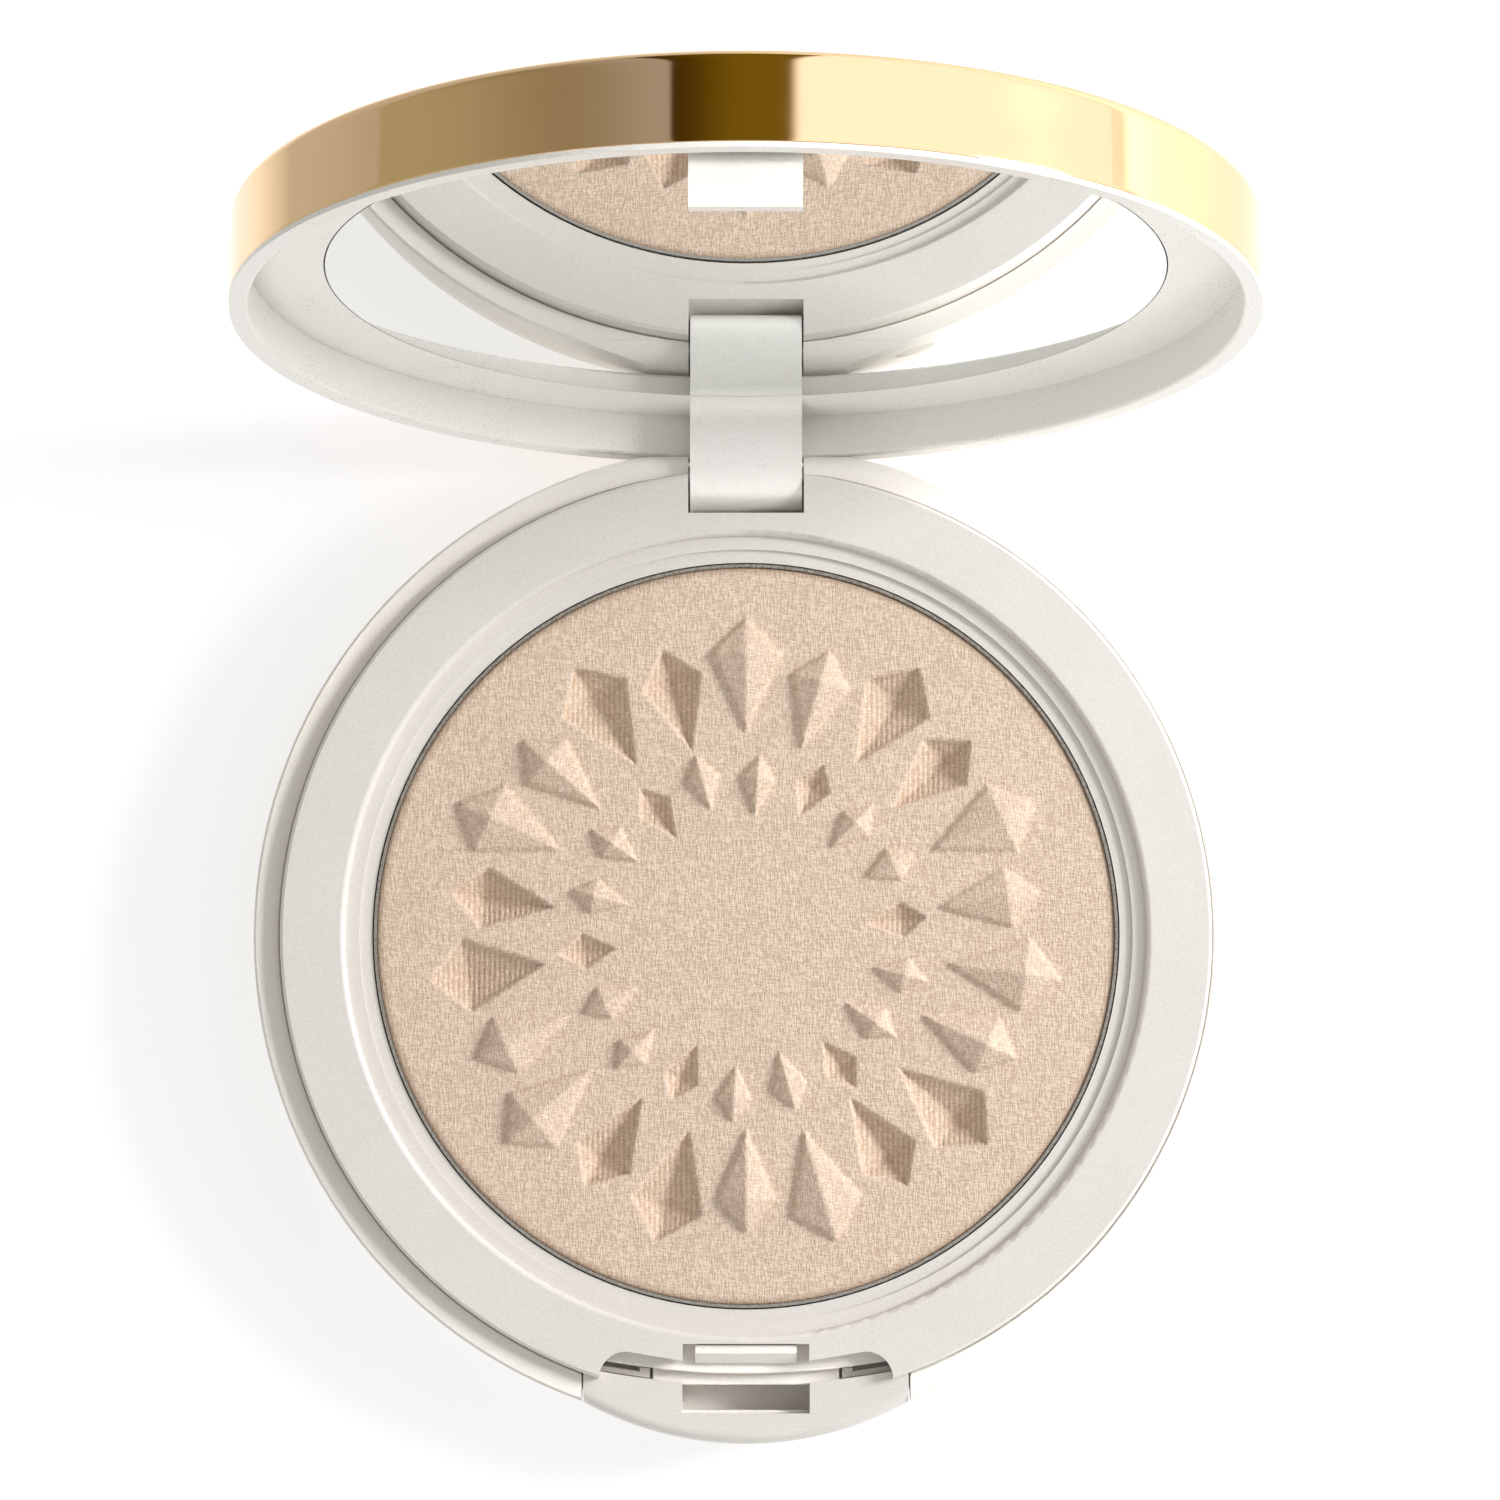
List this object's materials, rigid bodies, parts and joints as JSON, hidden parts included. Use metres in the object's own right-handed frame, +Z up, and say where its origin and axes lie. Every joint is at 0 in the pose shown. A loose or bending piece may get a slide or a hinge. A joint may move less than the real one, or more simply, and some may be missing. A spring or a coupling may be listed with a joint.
{
  "type": "powder compact",
  "caption": "Round pressed-powder compact with a hinged mirror lid in a gold ring and a sprung push-button latch, shown open.",
  "frame": {"origin": "centre of the flat underside, on the surface that the compact rests on", "axes": "+Z up, +Y towards the hinge, -Y towards the push button, +X to the right seen from the front"},
  "size_m": [0.079, 0.1017, 0.0819],
  "materials": {
    "case_pearl": "satin pearl moulding",
    "plate_pearl": "satin pearl moulding",
    "lid_pearl": "satin pearl moulding",
    "tin": "pressed, bright rim",
    "glue": "matt",
    "powder": "pressed powder with a fine woven texture",
    "label": "blank",
    "pin_steel": "drawn wire",
    "gold": "mirror-polished plated ring",
    "mirror": "silvered glass"
  },
  "bodies": {
    "base": {"base_shell": "case_pearl", "pan_frame": "plate_pearl", "powder_pan": "tin", "pan_glue": "glue", "powder_cake": "powder", "underside_label": "label", "hinge_pin": "pin_steel"},
    "button": {"push_button": "case_pearl", "button_arm_left": "case_pearl", "button_arm_right": "case_pearl"},
    "lid": {"lid_frame": "lid_pearl", "lid_ring": "gold", "lid_cover": "lid_pearl", "mirror": "mirror", "mirror_tape": "glue"}
  },
  "joints": [
    {"name": "lid_hinge", "type": "hinge", "parent": "base", "child": "lid", "pos_m": [0, 0.037, 0.00725], "axis": [1, 0, 0], "range_deg": [0, 101.2]},
    {"name": "button_press", "type": "slide", "parent": "base", "child": "button", "axis": [0, 1, 0], "range_m": [0, 0.0008], "stiffness_N_per_m": 600, "springref_m": -0.001, "deforming": ["button_arm_left", "button_arm_right"]}
  ]
}
